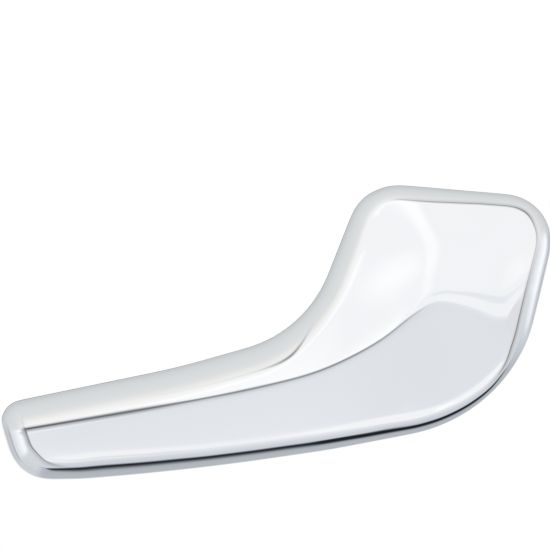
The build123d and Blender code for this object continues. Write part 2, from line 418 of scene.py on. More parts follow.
highAlong = curveThrough(list(zip(travel, highMarks)))
creaseX = curveThrough([(t, p[1][0]) for t, p in zip(travel, stations)])
creaseZ = curveThrough([(t, p[1][1]) for t, p in zip(travel, stations)])
close = shell["closeRows"]
inner = int((reach - 2 * close[-1]) / shell["columnStep"])
columns = [close[-1] + (reach - 2 * close[-1]) * k / inner for k in range(1, inner)]
columns = close + columns + [reach - c for c in reversed(close)]


def creasePlace(t):  # the grid's crease row: on the crease itself until this fades, then up the head
    x = creaseX(t)
    leave = ease(*shell["creaseLeave"], x)
    return Vector((x, lines["creaseLine"](x) * (1 - leave) + creaseZ(t) * leave))


def evenly(a, b, count):  # values strictly between two ends
    return [a + (b - a) * k / (count + 1) for k in range(1, count + 1)]


def lowerShares(height):  # rows from the lower edge to the crease, close together at both
    squeeze = min(1.0, shell["lowerSqueeze"] * height / (close[-1] + shell["creaseRows"][-1]))
    low = [c * squeeze for c in close]
    high = [height - c * squeeze for c in reversed(shell["creaseRows"])]
    return [v / height for v in low + evenly(low[-1], high[0], shell["lowerRows"]) + high]


def upperShares(height, toNeck):  # rows from the crease to the upper edge, close together at the neck's line
    squeeze = min(1.0, shell["upperSqueeze"] * height)
    low = [c * squeeze for c in shell["creaseRows"]]
    neckAt = max(height - max(toNeck, shell["neckLeast"]), low[-1] + shell["neckGap"] * squeeze)
    neck = [neckAt + c * squeeze for c in shell["neckRows"]]
    power = 1 + shell["headBunch"] * ease(*shell["headHeights"], height)
    steps = shell["upperRows"] + 1
    middle = [low[-1] + (neck[0] - low[-1]) * (k / steps) ** power for k in range(1, steps)]
    return [v / height for v in low + middle + neck + evenly(neck[-1], height, shell["edgeRows"]) + [height]]


someHeight = 10.0  # the number of rows is the same for any height
rowCount = len(lowerShares(someHeight)) + len(upperShares(someHeight, 0.0)) - 2
columnCount = len(columns) - 1


def sheetPlaces(insetAt):  # flat places of the grid inside the loop, and each edge vertex's mark on the loop
    def edge(s):
        point, inward = loopPlace(s)
        return point + inward * insetAt(s)

    def toNeck(s):
        return lines["neckDistance"](loopPlace(s)[0].x) - insetAt(s)

    def endMarks(first, last, goal):  # marks along an end of the grid, with the crease's row at its nearest
        count = shell["endTries"]
        tries = [first + (last - first) * k / count for k in range(count + 1)]
        middle = min(tries, key=lambda s: (edge(s) - goal).length)
        marks = [first + (middle - first) * v for v in lowerShares(abs(middle - first) * spacing)]
        shares = upperShares(abs(last - middle) * spacing, toNeck(last))
        return marks + [middle + (last - middle) * v for v in shares[1:]]

    def ruled(t):
        low, high, crease = edge(lowAlong(t)), edge(highAlong(t)), creasePlace(t)
        rows = [low.lerp(crease, v) for v in lowerShares((crease - low).length)]
        shares = upperShares((high - crease).length, toNeck(highAlong(t)))
        return rows + [crease.lerp(high, v) for v in shares[1:]]

    tipMarks = endMarks(cornerA + loopCount, cornerD, creasePlace(0.0))
    topMarks = endMarks(cornerB, cornerC, creasePlace(reach))
    tipShift = [edge(s) - p for s, p in zip(tipMarks, ruled(0.0))]
    topShift = [edge(s) - p for s, p in zip(topMarks, ruled(reach))]
    places, loopMarks = {}, {}
    for i, t in enumerate(columns):
        tipPart, topPart = 1 - ease(0, shell["tipBlend"], t), ease(reach - shell["topBlend"], reach, t)
        for j, p in enumerate(ruled(t)):
            places[i, j] = p + tipShift[j] * tipPart + topShift[j] * topPart
        loopMarks[i, 0], loopMarks[i, rowCount] = lowAlong(t), highAlong(t)
    for j in range(rowCount + 1):
        loopMarks[0, j], loopMarks[columnCount, j] = tipMarks[j], topMarks[j]
    return places, loopMarks


roundAt, coveAt = curveThrough(shell["floorRound"]), curveThrough(shell["coveWidth"])
frontPlaces, edgeMarks = sheetPlaces(lambda s: rimAt(s)[0])
floorPlaces, floorMarks = sheetPlaces(lambda s: shell["wall"] + shell["draft"] + roundAt(loopPlace(s)[0].x))

clearSelection()
bpy.ops.mesh.primitive_grid_add(x_subdivisions=columnCount, y_subdivisions=rowCount, size=0.1)
handle = bpy.context.object
handle.name = "leverHandle"
mesh = handle.data
order = [(i, j) for j in range(rowCount + 1) for i in range(columnCount + 1)]
frontDepth, paintedShade, frontPoint = {}, {}, []
for key in order:
    x, z = frontPlaces[key]
    frontDepth[key], paintedShade[key] = frontAt(x, z)
    frontPoint.append(Vector((x, front["flat"] + frontDepth[key], z)) * mm)
for vertex, point in zip(mesh.vertices, frontPoint):
    vertex.co = point
stationMark = mesh.attributes.new("station", "INT", "POINT")
for k in range(len(order)):
    stationMark.data[k].value = k
print("front", columnCount, "by", rowCount)

floorAt, rearAt = curveThrough(shell["floor"]), curveThrough(shell["rearRim"])


def ringPlaces():  # rings over the roll, down the side, round the rear rim and into the hollow
    rings = []
    rollSteps, roundSteps, wall = shell["rollSteps"], shell["roundSteps"], shell["wall"]
    for k in range(1, rollSteps + 1):
        ring = {}
        for key, s in edgeMarks.items():
            point, inward = loopPlace(s)
            inset, width, depth = rimAt(s)[:3]
            begin = math.asin(max(0.0, 1 - inset / width))
            angle = begin + (math.pi / 2 - begin) * k / rollSteps
            base = front["flat"] + frontDepth[key] - rollDepth(inset, width, depth)
            p = point + inward * width * (1 - math.sin(angle))
            ring[key] = (p.x, base + depth * (1 - math.cos(angle)), p.y)
        rings.append(ring)
    fromRear = shell["rearOuter"] + [(wall + past, rise) for past, rise in shell["rearInner"]]
    for inset, rise in fromRear:
        ring = {}
        for key, s in edgeMarks.items():
            drift = (floorMarks[key] - s) * ease(wall - 1, wall, inset)
            point, inward = loopPlace(s + drift)
            p = point + inward * inset
            ring[key] = (p.x, rearAt(point.x) + rise, p.y)
        rings.append(ring)
    for k in range(roundSteps + 1):
        ring = {}
        angle = math.pi / 2 * k / roundSteps
        for key, s in floorMarks.items():
            point, inward = loopPlace(s)
            radius = roundAt(point.x)
            p = point + inward * (wall + shell["draft"] + radius * (1 - math.cos(angle)))
            ring[key] = (p.x, floorAt(point.x) + radius * (1 - math.sin(angle)), p.y)
        rings.append(ring)
    return rings


def openEdges():  # selects the edges along the open border
    bpy.ops.mesh.select_mode(type="EDGE")
    bpy.ops.mesh.select_all(action="DESELECT")
    bpy.ops.mesh.select_non_manifold(extend=False, use_wire=False, use_boundary=True, use_multi_face=False,
                                     use_non_contiguous=False, use_verts=False)


onlySelect(handle)
bpy.ops.object.mode_set(mode="EDIT")
bpy.ops.mesh.select_mode(type="FACE")
bpy.ops.mesh.select_all(action="SELECT")
bpy.ops.mesh.duplicate()  # floor of the hollow, from the same grid
bm = bmesh.from_edit_mesh(mesh)
layer = bm.verts.layers.int["station"]
for vertex in bm.verts:
    if vertex.select:
        key = order[vertex[layer]]
        p = floorPlaces[key]
        along = loopPlace(floorMarks[key])[0].x if key in floorMarks else p.x
        vertex.co = Vector((p.x, floorAt(along), p.y)) * mm
bmesh.update_edit_mesh(mesh)
bpy.ops.mesh.flip_normals()
bpy.ops.mesh.hide(unselected=False)
openEdges()
for ring in ringPlaces():
    bpy.ops.mesh.extrude_edges_move()
    bm = bmesh.from_edit_mesh(mesh)
    layer = bm.verts.layers.int["station"]
    for vertex in bm.verts:
        if vertex.select:
            vertex.co = Vector(ring[order[vertex[layer]]]) * mm
    bmesh.update_edit_mesh(mesh)
bpy.ops.mesh.reveal(select=False)
bpy.ops.mesh.select_all(action="SELECT")
bpy.ops.mesh.remove_doubles(threshold=shell["mergeGap"] * mm)
bpy.ops.mesh.normals_make_consistent(inside=False)
bpy.ops.object.mode_set(mode="OBJECT")
# painted shade of the thin lines on the front, kept on each vertex for the base colour
paintedShadeMark = mesh.attributes.new("lineShade", "FLOAT", "POINT")
for vertex, mark in zip(mesh.vertices, mesh.attributes["station"].data):
    onFront = (vertex.co - frontPoint[mark.value]).length < shell["mergeGap"] / 2 * mm
    paintedShadeMark.data[vertex.index].value = paintedShade[order[mark.value]] if onFront else 0.0
mesh.attributes.remove(mesh.attributes["station"])
applyModifier(handle, "SUBSURF", levels=1, render_levels=1)
for vertex in mesh.vertices:  # the finer front is laid on its curves again
    x, y, z = vertex.co / mm
    if y < shell["hollowFront"]:
        lift = front["flat"] + frontAt(x, z)[0] - y
        if abs(lift) < shell["relayLimit"]:
            vertex.co.y += lift * ease(*shell["relayBlend"], loopDistance(x, z)[0]) * mm


def hollowRise(x, z, distance):  # floor of the lever's hollow: a cove above the crease, a lean below it
    share = ease(*shell["hollowStart"], x) * (1 - ease(*shell["hollowEnd"], x))
    crease = lines["creaseLine"](x)
    if z < crease:
        return share * shell["floorLean"] * min(1.0, (crease - z) / (crease - lines["lipLine"](x)))
    width = coveAt(x)
    run = min(1.0, max(0.0, 1 - (distance - shell["wall"] - shell["draft"]) / width))
    return share * (shell["coveRise"] * (1 - math.sqrt(1 - run * run)) + shell["coveEdge"] * run * width)


wallInside = shell["wall"] + 0.01  # just past the wall's inner face
for vertex in mesh.vertices:
    x, y, z = vertex.co / mm
    distance = loopDistance(x, z)[0]
    if y > shell["hollowFront"] and distance > wallInside:
        vertex.co.y = max(y, floorAt(x) + hollowRise(x, z, distance)) * mm
print("shell", len(handle.data.polygons), "faces")

parts = [handle]


def edgesWhere(piece, test):  # selects the edges whose two ends pass a test, in edit mode
    bpy.ops.object.mode_set(mode="EDIT")
    bpy.ops.mesh.select_mode(type="EDGE")
    bpy.ops.mesh.select_all(action="DESELECT")
    bm = bmesh.from_edit_mesh(piece.data)
    for e in bm.edges:
        if test(piece.matrix_world @ e.verts[0].co / mm, piece.matrix_world @ e.verts[1].co / mm):
            e.select_set(True)
    bmesh.update_edit_mesh(piece.data)


def block(name, low, high):  # box between two corners in millimetres, place baked in
    clearSelection()
    size = [(b - a) * mm for a, b in zip(low, high)]
    middle = [(a + b) / 2 * mm for a, b in zip(low, high)]
    bpy.ops.mesh.primitive_cube_add(size=1, location=middle, scale=size)
    piece = bpy.context.object
    piece.name = name
    bakePlace(piece)
    return piece


def cutAway(piece, cutter):
    applyModifier(piece, "BOOLEAN", operation="DIFFERENCE", object=cutter, solver="EXACT")
    bpy.data.objects.remove(cutter)


# Pivot boss: a barrel on a straight block, with a fluted blind bore and a window at the bore's floor
boss = {
    "radius": 10.0, "top": 12.0, "bottom": -12.0, "root": -18.4, "endRound": 2.4, "topRound": 0.8,
    "sideRows": (6.0, -1.0, -8.6), "capInset": 0.4, "endInset": 6.0, "sides": 120,
    "bore": 5.0, "boreRows": (-7.4, 0.0, 10.95), "floorDisc": 2.0,
    "flutes": 6, "fluteEdge": (0.35, 0.75), "fluteDepth": 0.8,
    "flare": [(0.85, 0.15), (1.0, 0.02), (1.25, 0.0)],  # past the bore, below the top
    "window": ((-7.5, 0.6, -7.2), (7.5, 12.0, -1.6)),
}
sides = boss["sides"]
sideTurns = [2 * math.pi * k / sides for k in range(sides)]
cornerCos, cornerSin = 0.5, math.sin(math.radians(60))  # turn that the front block's corners take up


def bossOutline(inset):  # D shape from above: round behind, straight to the skin in front
    r, points = boss["radius"] - inset, []
    for a in sideTurns:
        x, y = math.cos(a), math.sin(a)
        if y >= 0:
            points.append((r * x, r * y))
        elif abs(x) > cornerCos:
            points.append((math.copysign(r, x), boss["root"] * min(1, -y / cornerSin)))
        else:
            points.append((r * x / cornerCos, boss["root"]))
    return points


def boreOutline():  # circle with a flute cut outwards at each pitch
    points = []
    pitch = 2 * math.pi / boss["flutes"]
    for a in sideTurns:
        part = (a / pitch + 0.5) % 1 - 0.5
        off = abs(part) * pitch * boss["bore"]
        r = boss["bore"] + boss["fluteDepth"] * (1 - ease(*boss["fluteEdge"], off))
        points.append((r * math.cos(a), r * math.sin(a)))
    return points


def circleOutline(r):
    return [(r * math.cos(a), r * math.sin(a)) for a in sideTurns]


def quarterTurn(steps):  # angles from 0 to a right angle
    return [math.pi / 2 * k / steps for k in range(steps + 1)]


# Rings of the boss from the bore's floor up, over the top and down the outside
top, topRound = boss["top"], boss["topRound"]
bottom, endRound = boss["bottom"], boss["endRound"]
stack = [(circleOutline(boss["floorDisc"]), boss["boreRows"][0])]
stack += [(boreOutline(), z) for z in boss["boreRows"]]
stack += [(circleOutline(boss["bore"] + past), top - below) for past, below in boss["flare"]]
stack.append((bossOutline(topRound + boss["capInset"]), top))
for a in quarterTurn(4):
    stack.append((bossOutline(topRound * (1 - math.sin(a))), top - topRound * (1 - math.cos(a))))
stack += [(bossOutline(0), z) for z in boss["sideRows"]]
for a in quarterTurn(7):
    stack.append((bossOutline(endRound * (1 - math.cos(a))), bottom + endRound * (1 - math.sin(a))))
stack.append((bossOutline(boss["endInset"]), bottom))
clearSelection()
bpy.ops.mesh.primitive_circle_add(vertices=sides, radius=boss["floorDisc"] * mm, fill_type="NGON")
pivotBoss = bpy.context.object
pivotBoss.name = "pivotBoss"
bpy.ops.object.mode_set(mode="EDIT")
bm = bmesh.from_edit_mesh(pivotBoss.data)
side = bm.verts.layers.int.new("side")
for v in bm.verts:
    v[side] = round(math.atan2(v.co.y, v.co.x) / (2 * math.pi) * sides) % sides
    v.co = Vector((*stack[0][0][v[side]], stack[0][1])) * mm
bmesh.update_edit_mesh(pivotBoss.data)
openEdges()
for outlineAt, z in stack[1:]:
    bpy.ops.mesh.extrude_edges_move()
    bm = bmesh.from_edit_mesh(pivotBoss.data)
    side = bm.verts.layers.int["side"]
    for v in bm.verts:
        if v.select:
            v.co = Vector((*outlineAt[v[side]], z)) * mm
    bmesh.update_edit_mesh(pivotBoss.data)
bpy.ops.mesh.edge_face_add()
bpy.ops.mesh.select_all(action="SELECT")
bpy.ops.mesh.normals_make_consistent(inside=False)
bpy.ops.object.mode_set(mode="OBJECT")
window = block("windowCutter", *boss["window"])
cutAway(pivotBoss, window)
parts.append(pivotBoss)
print("boss", len(pivotBoss.data.polygons), "faces")

# Hump above the boss with an oval core open at its top
hump = {
    "low": (-10.5, -18.4, 10.5), "high": (14.5, -8.8, 23.0), "sideRound": 6.0, "topRound": 4.0,
    "core": (3.4, -13.4), "coreLength": 17.0, "coreWidth": 7.0, "coreFloor": 13.5, "coreDepth": 30.0,
}
near = 0.1  # an edge this close to a face counts as lying on it
humpBlock = block("hump", hump["low"], hump["high"])
skinSide, rearSide, topSide = hump["low"][1] + near, hump["high"][1] - near, hump["high"][2] - near
edgesWhere(humpBlock, lambda a, b: a.y > rearSide and b.y > rearSide and abs(a.x - b.x) < near)
bpy.ops.mesh.bevel(offset=hump["sideRound"] * mm, segments=10, affect="EDGES")
edgesWhere(humpBlock, lambda a, b: a.z > topSide and b.z > topSide and (a.y > skinSide or b.y > skinSide))
bpy.ops.mesh.bevel(offset=hump["topRound"] * mm, segments=8, affect="EDGES")
bpy.ops.object.mode_set(mode="OBJECT")
coreX, coreY = hump["core"]
coreZ = hump["coreFloor"] + hump["coreDepth"] / 2
clearSelection()
bpy.ops.mesh.primitive_cylinder_add(vertices=64, radius=hump["coreWidth"] / 2 * mm,
                                    depth=hump["coreDepth"] * mm,
                                    location=(coreX * mm, coreY * mm, coreZ * mm))
core = bpy.context.object
bakePlace(core)
bpy.ops.object.mode_set(mode="EDIT")
bm = bmesh.from_edit_mesh(core.data)
stretch = (hump["coreLength"] - hump["coreWidth"]) / 2
for v in bm.verts:  # stretched into an oval slot
    v.co.x += math.copysign(stretch * mm, v.co.x - coreX * mm)
bmesh.update_edit_mesh(core.data)
bpy.ops.object.mode_set(mode="OBJECT")
cutAway(humpBlock, core)
parts.append(humpBlock)

# Ribs in the head's pocket, low and high corner of each, the wall between the hollows, and a round pad
ribHalf = 0.75
ribs = {
    "plate": ((-22.3, -18.4, 10.5), (22.3, -12.6, 12.0)),
    "side": ((13.2, -18.4, -7.0), (14.7, -15.0, 11.5)),
    "step": ((9.0, -18.4, -7.0 - ribHalf), (14.7, -15.0, -7.0 + ribHalf)),
    "ladder": [((-22.5, -18.4, z - ribHalf), (-9.0, -13.8, z + ribHalf)) for z in (7.6, 1.2, -5.2, -11.6)],
    "edge": 0.25,
}
ribBlocks = [("plateRib", ribs["plate"]), ("sideRib", ribs["side"]), ("stepRib", ribs["step"])]
ribBlocks += [("ladderRib", corners) for corners in ribs["ladder"]]
for name, corners in ribBlocks:
    rib = block(name, *corners)
    applyModifier(rib, "BEVEL", width=ribs["edge"] * mm, segments=2, limit_method="NONE")
    parts.append(rib)

divider = {
    "path": [(-21.9, -19.0), (-22.3, -12.0), (-22.6, -6.0), (-22.75, 0.5), (-22.4, 7.0), (-21.4, 13.5),
             (-18.9, 19.6), (-16.2, 25.0)],
    "thickness": 2.0, "low": -18.4, "high": -11.4, "edge": 0.4, "edgeAngle": 50.0, "cuts": 30,
}
wallX = curveThrough([(z, x) for x, z in divider["path"]])
wallHalf = divider["thickness"] / 2
wallFoot, wallHead = divider["path"][0][1], divider["path"][-1][1]
wallBlock = block("dividingWall", (-wallHalf, divider["low"], wallFoot),
                  (wallHalf, divider["high"], wallHead))
edgesWhere(wallBlock, lambda a, b: abs(a.z - b.z) > near)
bpy.ops.mesh.subdivide(number_cuts=divider["cuts"])
bpy.ops.object.mode_set(mode="OBJECT")
for v in wallBlock.data.vertices:
    v.co.x = (wallX(v.co.z / mm) + math.copysign(wallHalf, v.co.x)) * mm
applyModifier(wallBlock, "BEVEL", width=divider["edge"] * mm, segments=3, limit_method="ANGLE",
              angle_limit=math.radians(divider["edgeAngle"]))
parts.append(wallBlock)

pad = {"place": (18.4, 16.2), "radius": 3.0, "low": -18.3, "high": -17.6, "edge": 0.2}
padX, padZ = pad["place"]
padY = (pad["low"] + pad["high"]) / 2
clearSelection()
bpy.ops.mesh.primitive_cylinder_add(vertices=48, radius=pad["radius"] * mm,
                                    depth=(pad["high"] - pad["low"]) * mm,
                                    location=(padX * mm, padY * mm, padZ * mm), rotation=(math.pi / 2, 0, 0))
roundPad = bpy.context.object
bakePlace(roundPad)
applyModifier(roundPad, "BEVEL", width=pad["edge"] * mm, segments=2, limit_method="ANGLE")
parts.append(roundPad)
print("back", len(parts) - 1, "forms")

clearSelection()
for piece in parts:
    piece.select_set(True)
bpy.context.view_layer.objects.active = handle
bpy.ops.object.join()
onlySelect(handle)
bpy.ops.object.shade_smooth_by_angle(angle=math.radians(shell["smoothAngle"]))
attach(handle, "root")
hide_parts("lever_handle")


class Value:  # a node socket that takes part in sums; without a socket it only starts a tree's nodes
    def __init__(self, tree, socket=None):
        self.tree = tree
        self.socket = socket

    def node(self, kind, settings=None, sockets=None, out=0):
        made = self.tree.nodes.new(kind)
        for key, value in (settings or {}).items():
            if key == "stops":
                ramp = made.color_ramp
                while len(ramp.elements) < len(value):
                    ramp.elements.new(0.5)
                for element, (place, colour) in zip(ramp.elements, value):
                    element.position = place
                    element.color = (*colour, 1)
            else:
                setattr(made, key, value)
        for key, value in (sockets or {}).items():
            if isinstance(value, Value):
                self.tree.links.new(value.socket, made.inputs[key])
            else:
                made.inputs[key].default_value = value
        return Value(self.tree, made.outputs[out])

    def other(self, name):  # another output of the same node
        return Value(self.tree, self.socket.node.outputs[name])

    def maths(self, operation, first, second=None):
        sockets = {0: first} if second is None else {0: first, 1: second}
        return self.node("ShaderNodeMath", {"operation": operation}, sockets)

    def __add__(self, other):
        return self.maths("ADD", self, other)

    def __radd__(self, other):
        return self.maths("ADD", other, self)

    def __sub__(self, other):
        return self.maths("SUBTRACT", self, other)

    def __rsub__(self, other):
        return self.maths("SUBTRACT", other, self)

    def __mul__(self, other):
        return self.maths("MULTIPLY", self, other)

    def __rmul__(self, other):
        return self.maths("MULTIPLY", other, self)

    def __truediv__(self, other):
        return self.maths("DIVIDE", self, other)

    def __rtruediv__(self, other):
        return self.maths("DIVIDE", other, self)

    def __pow__(self, other):
        return self.maths("POWER", self, other)

    def __rpow__(self, other):
        return self.maths("POWER", other, self)

    def between(self, low, high):  # eases from 0 to 1 over a range
        return self.node("ShaderNodeMapRange", {"interpolation_type": "SMOOTHSTEP"},
                         {"Value": self, "From Min": low, "From Max": high})

    def blend(self, first, second):  # mixes two colours by this share
        return self.node("ShaderNodeMix", {"data_type": "RGBA"}, {0: self, 6: first, 7: second}, out=2)

    def feed(self, socket):
        self.tree.links.new(self.socket, socket)


def newMaterial(name):
    material = bpy.data.materials.new(name)
    material.use_nodes = True
    return material, Value(material.node_tree), material.node_tree.nodes["Principled BSDF"]


# Chrome over nickel: bright all over, with the nickel's straw tint where the chrome is thin inside the
# pocket, painted shade deep in the bore and the window, and painted shade lines along the front's crease, rim
# and neck
chrome = {
    "colour": (0.80, 0.81, 0.83, 1), "nickel": (0.78, 0.66, 0.46, 1), "paintedShade": (0.24, 0.20, 0.15, 1),
    "paintedShadeLineColour": (0.05, 0.048, 0.05, 1), "paintedShadeLineStrength": 0.88, "leastNickel": 0.72,
    "roughness": 0.035, "hazeRoughness": 0.02, "bareRoughness": 0.10,
    "cloudScale": 70.0, "cloudRange": (0.3, 0.7), "hazeScale": 260.0, "hazeRange": (0.45, 0.75),
    "swellScale": 45.0, "swellStrength": 0.02, "swellHeight": 0.4,
    "pocketMiddle": (-2.0, 4.0), "pocketReach": 21.5, "pocketFade": (0.6, 1.15),
    # millimetres over which the nickel and the bore's painted shade come and go
    "pocketFront": (-18.5, -18.2), "pocketRear": (-8.6, -8.0),
    "bossTop": (11.2, 11.8), "bossSide": (9.9, 10.1), "bossFront": (-12.0, -10.0),
    "boreSide": (5.0, 6.1), "boreFloor": (-7.8, -7.4), "boreMouth": (9.5, 10.8),
    "windowSide": (9.6, 9.8), "windowFront": (0.4, 0.6), "windowTop": (-1.6, -1.4),
}


def past(value, name):  # from 0 before one of the chrome's ranges to 1 after it
    low, high = chrome[name]
    return value.between(low * mm, high * mm)


def grain(scale, detail):  # soft random pattern, fixed to the piece
    return nodes.node("ShaderNodeTexNoise", None, {"Vector": place, "Scale": scale, "Detail": detail})


material, nodes, shader = newMaterial("platedChrome")
place = nodes.node("ShaderNodeTexCoord", out="Object")
x = nodes.node("ShaderNodeSeparateXYZ", None, {"Vector": place})
y, z = x.other("Y"), x.other("Z")
pocketX, pocketZ = chrome["pocketMiddle"]
pocketReach = chrome["pocketReach"] * mm
fromMiddle = ((x - pocketX * mm) / pocketReach) ** 2.0 + ((z - pocketZ * mm) / pocketReach) ** 2.0
inPocket = 1 - fromMiddle.between(*chrome["pocketFade"])
inPocket = inPocket * past(y, "pocketFront") * (1 - past(y, "pocketRear"))
fromAxis = (x * x + y * y) ** 0.5
bossTop = past(z, "bossTop") * (1 - past(fromAxis, "bossSide")) * past(y, "bossFront")
inBore = (1 - past(fromAxis, "boreSide")) * past(z, "boreFloor")
inWindow = (1 - past(fromAxis, "windowSide")) * past(y, "windowFront")
inWindow = inWindow * past(z, "boreFloor") * (1 - past(z, "windowTop"))
# painted shade: deep in the bore and in the window the colour darkens towards the brown shade colour
deep = inBore.maths("MAXIMUM", inBore * (1 - past(z, "boreMouth")), inWindow)
cloud = grain(chrome["cloudScale"], 3.0)
bare = inPocket.maths("MAXIMUM", inPocket.maths("MAXIMUM", inPocket, bossTop), inBore)
bare = bare * (chrome["leastNickel"] + (1 - chrome["leastNickel"]) * cloud.between(*chrome["cloudRange"]))
plate = deep.blend(bare.blend(chrome["colour"], chrome["nickel"]), chrome["paintedShade"])
# painted shade: the thin lines mix the base colour towards near black
paintedShadeLines = nodes.node("ShaderNodeAttribute", {"attribute_name": "lineShade"}, out="Fac")
(paintedShadeLines * chrome["paintedShadeLineStrength"]).blend(plate, chrome["paintedShadeLineColour"]).feed(shader.inputs["Base Color"])
shader.inputs["Metallic"].default_value = 1.0
haze = grain(chrome["hazeScale"], 4.0)
roughness = chrome["roughness"] + chrome["hazeRoughness"] * haze.between(*chrome["hazeRange"])
(roughness + chrome["bareRoughness"] * bare).feed(shader.inputs["Roughness"])
swell = grain(chrome["swellScale"], 1.0)
bump = nodes.node("ShaderNodeBump", None, {"Height": swell, "Strength": chrome["swellStrength"],
                                           "Distance": chrome["swellHeight"] * mm})
bump.feed(shader.inputs["Normal"])
handle.data.materials.clear()
handle.data.materials.append(material)
print("chrome set")

# Studio, in metres: white floor and background, and a light tent that only the metal's reflections see
studio = {
    "white": (1, 1, 1, 1), "floorGrey": (0.9, 0.9, 0.9, 1), "floorRoughness": 0.9,
    "floorSize": 8.0, "floorDrop": 0.25, "tentRadius": 3.0, "tentGlow": 1.03,
    "lampWatts": 12.0, "lampSize": 1.0, "lampPlace": (-0.3, -0.9, 1.2),
}
scene = bpy.context.scene
world = bpy.data.worlds.new("studioWorld")
scene.world = world
world.use_nodes = True
background = world.node_tree.nodes["Background"]
background.inputs["Color"].default_value = studio["white"]
background.inputs["Strength"].default_value = 1.0

clearSelection()
bpy.ops.mesh.primitive_plane_add(size=studio["floorSize"], location=(0, 0, -studio["floorDrop"]))
floor = bpy.context.object
floor.name = "floor"
floorMaterial, nodes, shader = newMaterial("paleFloor")
shader.inputs["Base Color"].default_value = studio["floorGrey"]
shader.inputs["Roughness"].default_value = studio["floorRoughness"]
seen = nodes.node("ShaderNodeLightPath", out="Is Camera Ray")
glow = nodes.node("ShaderNodeEmission", None, {"Color": studio["white"], "Strength": 1.0})
paper = Value(nodes.tree, shader.outputs[0])
lit = nodes.node("ShaderNodeMixShader", None, {0: seen, 1: paper, 2: glow})
lit.feed(nodes.tree.nodes["Material Output"].inputs["Surface"])
floor.data.materials.append(floorMaterial)
floor.visible_glossy = False

# Cloth of the tent: degrees from the camera's side towards the back, and the colour there
belowNear = [(0, (1.00, 1.02, 1.03)), (4, (0.96, 0.985, 1.0)), (8.6, (0.905, 0.93, 0.945)),
             (13, (0.88, 0.90, 0.915)), (19, (0.84, 0.86, 0.875)), (26, (0.775, 0.80, 0.83)),
             (33, (0.73, 0.76, 0.81))]
belowFar = [(90, (0.535, 0.57, 0.60)), (110, (0.53, 0.57, 0.60)), (128, (0.53, 0.56, 0.59)),
            (140, (0.68, 0.71, 0.74)), (152, (0.90, 0.92, 0.95)), (164, (1.02, 1.03, 1.04)),
            (180, (0.95, 0.96, 0.98))]
tentStops = {
    "up": [(0, (1.00, 1.02, 1.03)), (2.5, (1.08, 1.08, 1.08)), (5, (1.15, 1.145, 1.14)),
           (8, (1.20, 1.20, 1.19)), (12, (1.20, 1.195, 1.18)), (16, (1.11, 1.10, 1.07)),
           (23, (1.065, 1.055, 1.02)), (26, (1.04, 1.03, 0.99)), (30, (0.985, 0.98, 0.95)),
           (34, (0.945, 0.945, 0.925)), (38, (0.90, 0.905, 0.89)), (42, (0.87, 0.88, 0.87)),
           (57, (0.835, 0.85, 0.845)), (69, (0.81, 0.83, 0.825)), (94, (0.76, 0.785, 0.78)),
           (110, (0.72, 0.74, 0.74)), (125, (0.66, 0.68, 0.67)), (147, (0.74, 0.76, 0.76)),
           (151, (0.06, 0.065, 0.07)), (161, (0.06, 0.065, 0.07)), (165, (1.05, 1.05, 1.05)),
           (180, (0.95, 0.96, 0.98))],
    "down": belowNear + [
        (38, (0.71, 0.745, 0.80)), (40.5, (0.56, 0.59, 0.64)), (43, (0.26, 0.28, 0.31)),
        (45, (0.10, 0.11, 0.125)), (47.5, (0.02, 0.022, 0.028)), (52, (0.02, 0.022, 0.028)),
        (57, (0.095, 0.105, 0.115)), (62, (0.225, 0.245, 0.265)), (67, (0.37, 0.39, 0.42)),
        (73, (0.485, 0.515, 0.545)),
    ] + belowFar,
    "downRight": belowNear + [
        (37, (0.71, 0.745, 0.80)), (39.5, (0.58, 0.61, 0.66)), (42, (0.14, 0.15, 0.17)),
        (44, (0.015, 0.017, 0.022)), (55, (0.015, 0.017, 0.022)), (59, (0.07, 0.078, 0.086)),
        (63, (0.23, 0.25, 0.27)), (67.5, (0.41, 0.435, 0.46)), (73, (0.50, 0.53, 0.56)),
    ] + belowFar,
    "left": [(0, (1.00, 1.02, 1.03)), (3, (1.06, 1.06, 1.06)), (7, (1.09, 1.09, 1.09)),
             (10, (1.18, 1.18, 1.17)), (13, (1.15, 1.15, 1.14)), (17, (0.93, 0.95, 0.97)),
             (22, (0.90, 0.92, 0.94)), (29, (1.00, 1.02, 1.04)), (36, (1.13, 1.13, 1.13)),
             (43, (1.12, 1.12, 1.12)), (56, (1.00, 1.01, 1.03)), (72, (0.87, 0.89, 0.92)),
             (83, (0.84, 0.86, 0.89)), (87, (0.52, 0.54, 0.57)), (91, (0.52, 0.54, 0.57)),
             (97, (0.64, 0.66, 0.69)), (112, (0.68, 0.70, 0.72)), (130, (0.60, 0.62, 0.65)),
             (142, (0.85, 0.87, 0.90)), (155, (1.10, 1.10, 1.10)), (166, (0.85, 0.87, 0.90)),
             (168, (0.12, 0.13, 0.14)), (172, (0.12, 0.13, 0.14)), (175, (0.90, 0.92, 0.95)),
             (180, (0.95, 0.96, 0.98))],
    "right": [(0, (1.00, 1.02, 1.03)), (3, (1.06, 1.06, 1.06)), (6.5, (1.08, 1.08, 1.08)),
              (10, (1.06, 1.06, 1.06)), (14, (0.88, 0.88, 0.89)), (22, (0.88, 0.89, 0.90)),
              (30, (0.92, 0.93, 0.95)), (48, (1.07, 1.08, 1.10)), (60, (1.16, 1.17, 1.18)),
              (70, (1.13, 1.14, 1.15)), (80, (0.94, 0.95, 0.97)), (95, (0.70, 0.72, 0.75)),
              (120, (0.56, 0.58, 0.61)), (134, (0.60, 0.62, 0.66)), (144, (0.95, 0.96, 0.98)),
              (154, (1.10, 1.10, 1.10)), (163, (0.85, 0.87, 0.90)), (165.5, (0.12, 0.13, 0.14)),
              (169, (0.12, 0.13, 0.14)), (172, (0.90, 0.92, 0.95)), (180, (0.95, 0.96, 0.98))],
}
